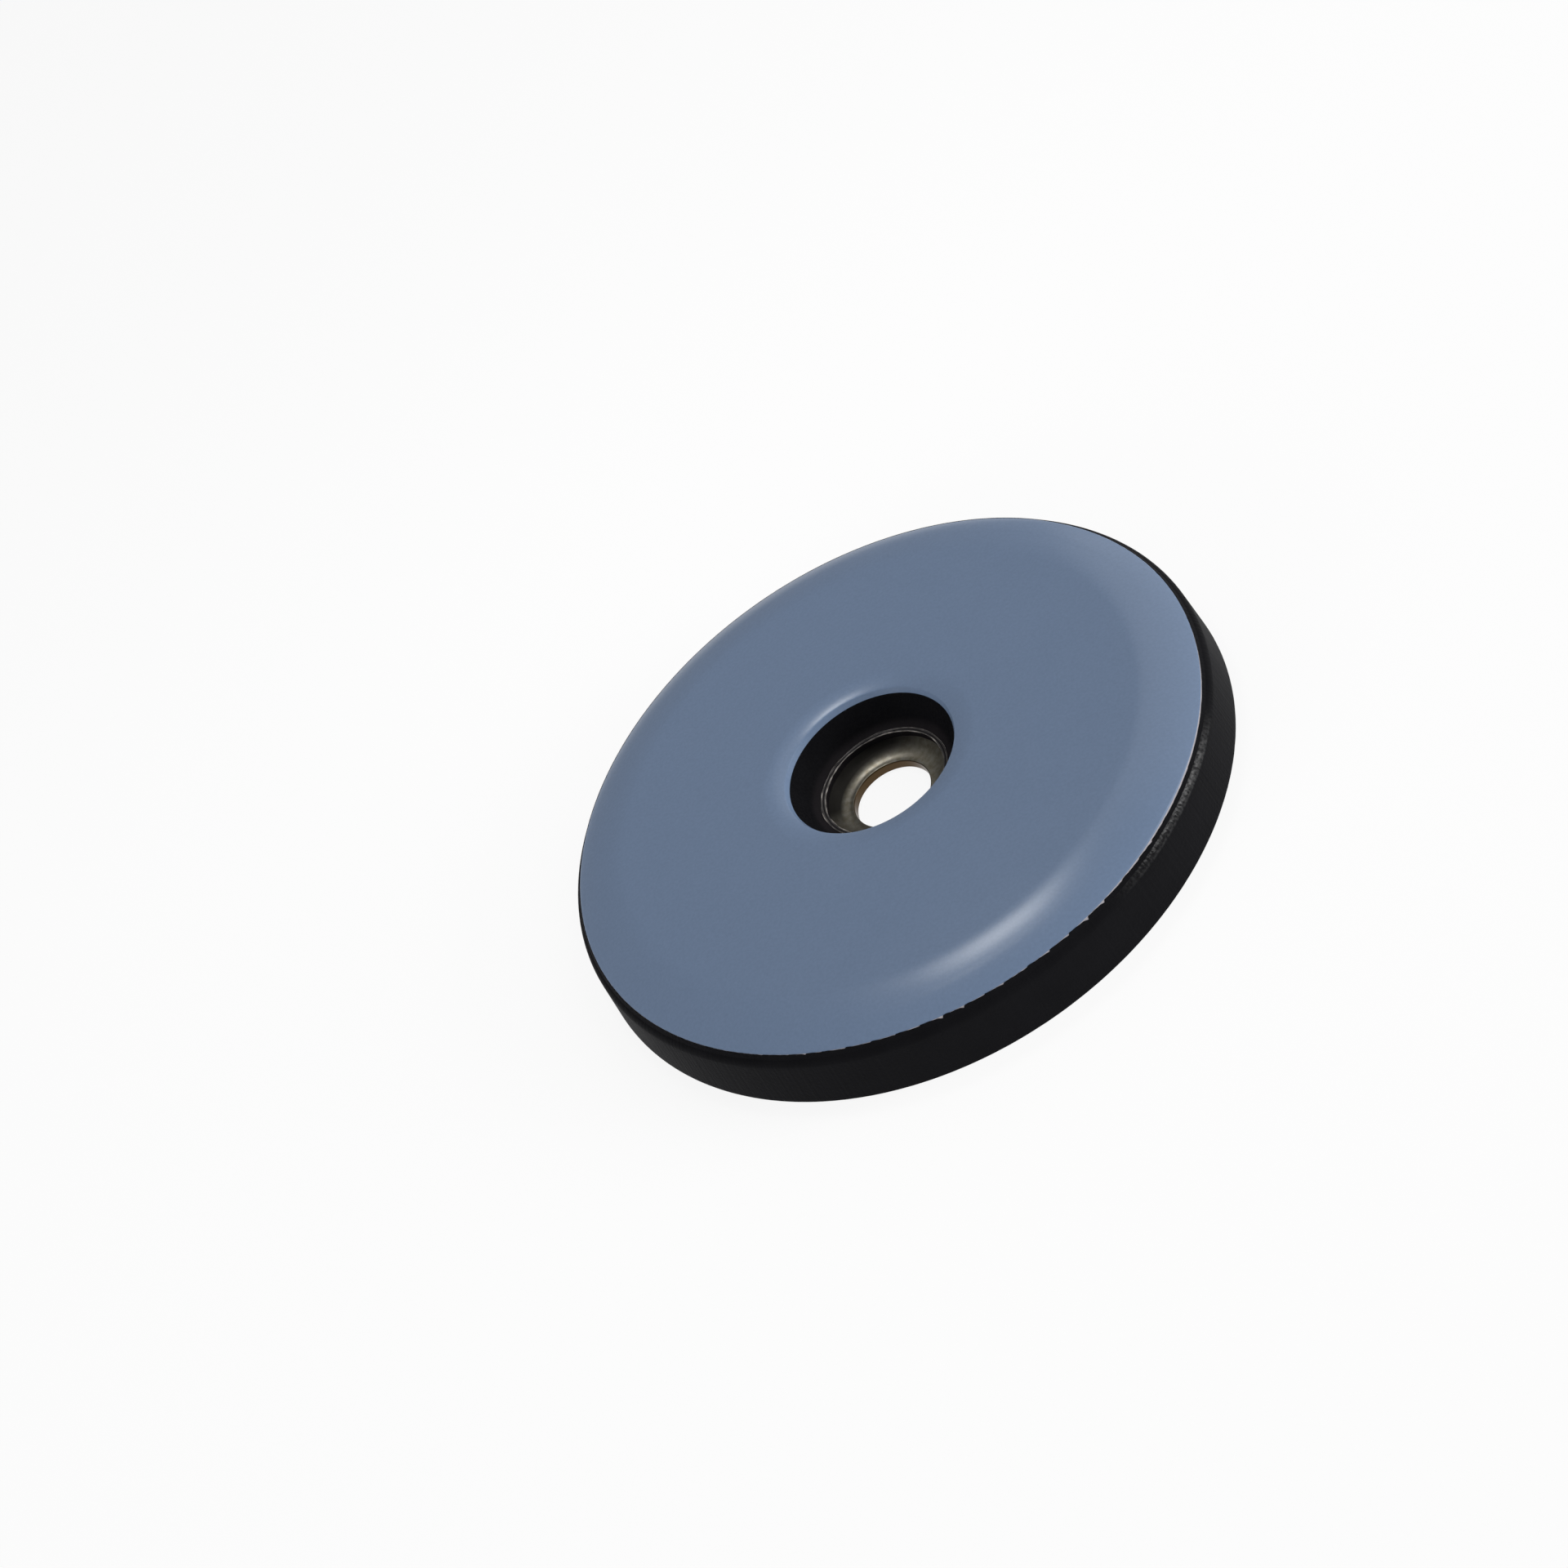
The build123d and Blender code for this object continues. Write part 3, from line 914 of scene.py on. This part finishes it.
class GLIDE_OT_stage(bpy.types.Operator):
    """Set the floor, the lamps, the sky and the camera"""

    bl_idname = "glide.stage"
    bl_label = "Stage"

    FLOOR_SIZE = 2.0
    FLOOR_GAP = 0.01 * MM
    ROOM_RADIUS = 0.9
    ROOM_FOOT = radians(4)
    ROOM_BACK = (-0.5, 0.866, 0)
    ROOM_FADE_START = -0.1 * ROOM_RADIUS
    ROOM_FADE_END = 0.8 * ROOM_RADIUS
    ROOM_DARKEST = 0.02
    ROOM_LIGHTEST = 0.28
    LEFT_FILL_SHARE = 0.68
    LAMPS = {
        "key_lamp": Lamp((0.033, 0.314, 0.949), 0.137, (0.03, 0.0235)),
        "strip_lamp": Lamp((0.791, -0.168, 0.588), 0.7, (0.2, 0.6)),
        "reflector": Lamp((0.582, 0.562, 0.588), 0.7, (0.46, 0.6)),
        "right_fill": Lamp((0.85, -0.5, 0.155), 0.7, (0.4, 0.25)),
        "left_fill": Lamp((-0.92, -0.35, 0.155), 0.7, (0.4, 0.25)),
    }

    def seen_rays(self, tree):
        """Socket that is one where the white background shows: to the eye, in gloss and through glass."""
        path = add_node(tree, "ShaderNodeLightPath")
        gloss = add_node(
            tree, "ShaderNodeMath",
            {0: path.outputs["Is Camera Ray"], 1: path.outputs["Is Glossy Ray"]}, operation="MAXIMUM",
        )
        both = add_node(
            tree, "ShaderNodeMath",
            {0: gloss.outputs[0], 1: path.outputs["Is Transmission Ray"]}, operation="MAXIMUM",
        )
        return both.outputs[0]

    def floor(self, tone, glow):
        """White floor that keeps the shadow of the glide."""
        bm = bmesh.new()
        bmesh.ops.create_grid(bm, x_segments=1, y_segments=1, size=self.FLOOR_SIZE / 2)
        bmesh.ops.translate(bm, verts=bm.verts, vec=(0, 0, -self.FLOOR_GAP))
        mesh = bpy.data.meshes.new("floor")
        bm.to_mesh(mesh)
        bm.free()
        material, tree, shader = blank_material("floor_white_paper")
        shader.inputs["Base Color"].default_value = shade(tone, 1)
        shader.inputs["Roughness"].default_value = 0.9
        shader.inputs["Specular IOR Level"].default_value = 0
        white = add_node(tree, "ShaderNodeEmission", {"Strength": 1.0})
        share = add_node(
            tree, "ShaderNodeMath", {0: self.seen_rays(tree), 1: glow}, operation="MULTIPLY"
        )
        mixed = add_node(
            tree, "ShaderNodeMixShader", {0: share.outputs[0], 1: shader.outputs[0], 2: white.outputs[0]}
        )
        tree.links.new(mixed.outputs[0], tree.nodes["Material Output"].inputs["Surface"])
        mesh.materials.append(material)
        floor = bpy.data.objects.new("floor", mesh)
        bpy.context.scene.collection.objects.link(floor)

    def lamp(self, name, radiance, in_gloss=True):
        """Soft rectangular lamp that looks at the glide, of the given brightness."""
        form = self.LAMPS[name]
        light = bpy.data.lights.new(name, "AREA")
        light.shape = "RECTANGLE"
        light.size, light.size_y = form.size
        light.energy = radiance * pi * light.size * light.size_y
        lamp = bpy.data.objects.new(name, light)
        outward = Vector(form.direction).normalized()
        turn = outward.to_track_quat("Z", "Y")
        lamp.matrix_world = Matrix.LocRotScale(outward * form.distance, turn, None)
        lamp.visible_camera = False
        lamp.visible_glossy = in_gloss
        bpy.context.scene.collection.objects.link(lamp)

    def room(self):
        """Dim room that only gloss mirrors, above the white of the horizon and darkest in front."""
        bm = bmesh.new()
        bmesh.ops.create_uvsphere(bm, u_segments=72, v_segments=36, radius=self.ROOM_RADIUS)
        foot = self.ROOM_RADIUS * sin(self.ROOM_FOOT)
        below = [face for face in bm.faces if face.calc_center_median().z < foot]
        bmesh.ops.delete(bm, geom=below, context="FACES")
        mesh = bpy.data.meshes.new("dim_room")
        bm.to_mesh(mesh)
        bm.free()
        material, tree, _ = blank_material("room_grey_cloth")
        place = add_node(tree, "ShaderNodeTexCoord").outputs["Object"]
        depth = add_node(
            tree, "ShaderNodeVectorMath", {0: place, 1: self.ROOM_BACK}, operation="DOT_PRODUCT"
        )
        light = add_node(
            tree, "ShaderNodeMapRange",
            {
                "Value": depth.outputs["Value"], "From Min": self.ROOM_FADE_START,
                "From Max": self.ROOM_FADE_END, "To Min": self.ROOM_DARKEST, "To Max": self.ROOM_LIGHTEST,
            },
        )
        cloth = add_node(tree, "ShaderNodeEmission", {"Strength": light.outputs[0]})
        tree.links.new(cloth.outputs[0], tree.nodes["Material Output"].inputs["Surface"])
        mesh.materials.append(material)
        room = bpy.data.objects.new("dim_room", mesh)
        room.visible_camera = False
        room.visible_diffuse = False
        room.visible_shadow = False
        room.visible_transmission = False
        bpy.context.scene.collection.objects.link(room)

    def sky(self, strength):
        """Soft light from all round, which shows as white."""
        world = bpy.data.worlds.new("sky")
        world.use_nodes = True
        tree = world.node_tree
        soft = tree.nodes["Background"]
        soft.inputs["Color"].default_value = (1, 1, 1, 1)
        soft.inputs["Strength"].default_value = strength
        white = add_node(tree, "ShaderNodeBackground", {"Color": (1, 1, 1, 1), "Strength": 1.0})
        mixed = add_node(
            tree, "ShaderNodeMixShader", {0: self.seen_rays(tree), 1: soft.outputs[0], 2: white.outputs[0]}
        )
        tree.links.new(mixed.outputs[0], tree.nodes["World Output"].inputs["Surface"])
        bpy.context.scene.world = world

    def camera(self, stage):
        """Camera that looks down along +Y, with the picture turned about the line of sight."""
        camera = bpy.data.objects.new("camera", bpy.data.cameras.new("camera"))
        camera.data.sensor_width = 36
        camera.data.lens = stage.camera_lens
        camera.data.clip_start = 1 * MM
        camera.matrix_world = (
            Matrix.Translation(stage.camera_place)
            @ Matrix.Rotation(pi / 2 - stage.camera_elevation, 4, "X")
            @ Matrix.Rotation(stage.camera_roll, 4, "Z")
        )
        bpy.context.scene.collection.objects.link(camera)
        bpy.context.scene.camera = camera

    def execute(self, context):
        stage = context.scene.glide_stage
        self.floor(context.scene.glide_colours.floor, stage.floor_glow)
        self.lamp("key_lamp", stage.key_radiance)
        self.lamp("strip_lamp", stage.strip_radiance)
        self.lamp("reflector", stage.reflector_radiance)
        self.lamp("right_fill", stage.fill_radiance, in_gloss=False)
        self.lamp("left_fill", self.LEFT_FILL_SHARE * stage.fill_radiance, in_gloss=False)
        self.room()
        self.sky(stage.sky_strength)
        self.camera(stage)
        context.scene.view_settings.view_transform = "Standard"
        return {"FINISHED"}


PIECE_OPERATORS = (
    GLIDE_OT_sliding_pad,
    GLIDE_OT_rubber_base,
    GLIDE_OT_screw_cup,
    GLIDE_OT_seam_flash,
    GLIDE_OT_throat_flash,
    GLIDE_OT_stage,
)


class GLIDE_PT_sidebar(bpy.types.Panel):
    """Steps that build the glide, and what can be changed"""

    bl_idname = "GLIDE_PT_sidebar"
    bl_label = "Furniture glide"
    bl_space_type = "VIEW_3D"
    bl_region_type = "UI"
    bl_category = "Glide"

    def draw(self, context):
        for step in PIECE_OPERATORS:
            self.layout.operator(step.bl_idname)
        for group in ("glide_sizes", "glide_colours", "glide_stage"):
            box = self.layout.box()
            owner = getattr(context.scene, group)
            for name in owner.bl_rna.properties.keys():
                if name not in ("rna_type", "name"):
                    box.prop(owner, name)


CLASSES = (GlideSizes, GlideColours, GlideStage, *PIECE_OPERATORS, GLIDE_PT_sidebar)


def register():
    for item in CLASSES:
        bpy.utils.register_class(item)
    bpy.types.Scene.glide_sizes = PointerProperty(type=GlideSizes)
    bpy.types.Scene.glide_colours = PointerProperty(type=GlideColours)
    bpy.types.Scene.glide_stage = PointerProperty(type=GlideStage)


def unregister():
    del bpy.types.Scene.glide_stage
    del bpy.types.Scene.glide_colours
    del bpy.types.Scene.glide_sizes
    for item in reversed(CLASSES):
        bpy.utils.unregister_class(item)


def main():
    register()
    bpy.ops.glide.sliding_pad()
    bpy.ops.glide.rubber_base()
    bpy.ops.glide.screw_cup()
    bpy.ops.glide.seam_flash()
    bpy.ops.glide.throat_flash()
    bpy.ops.glide.stage()


if __name__ == "__main__":
    main()
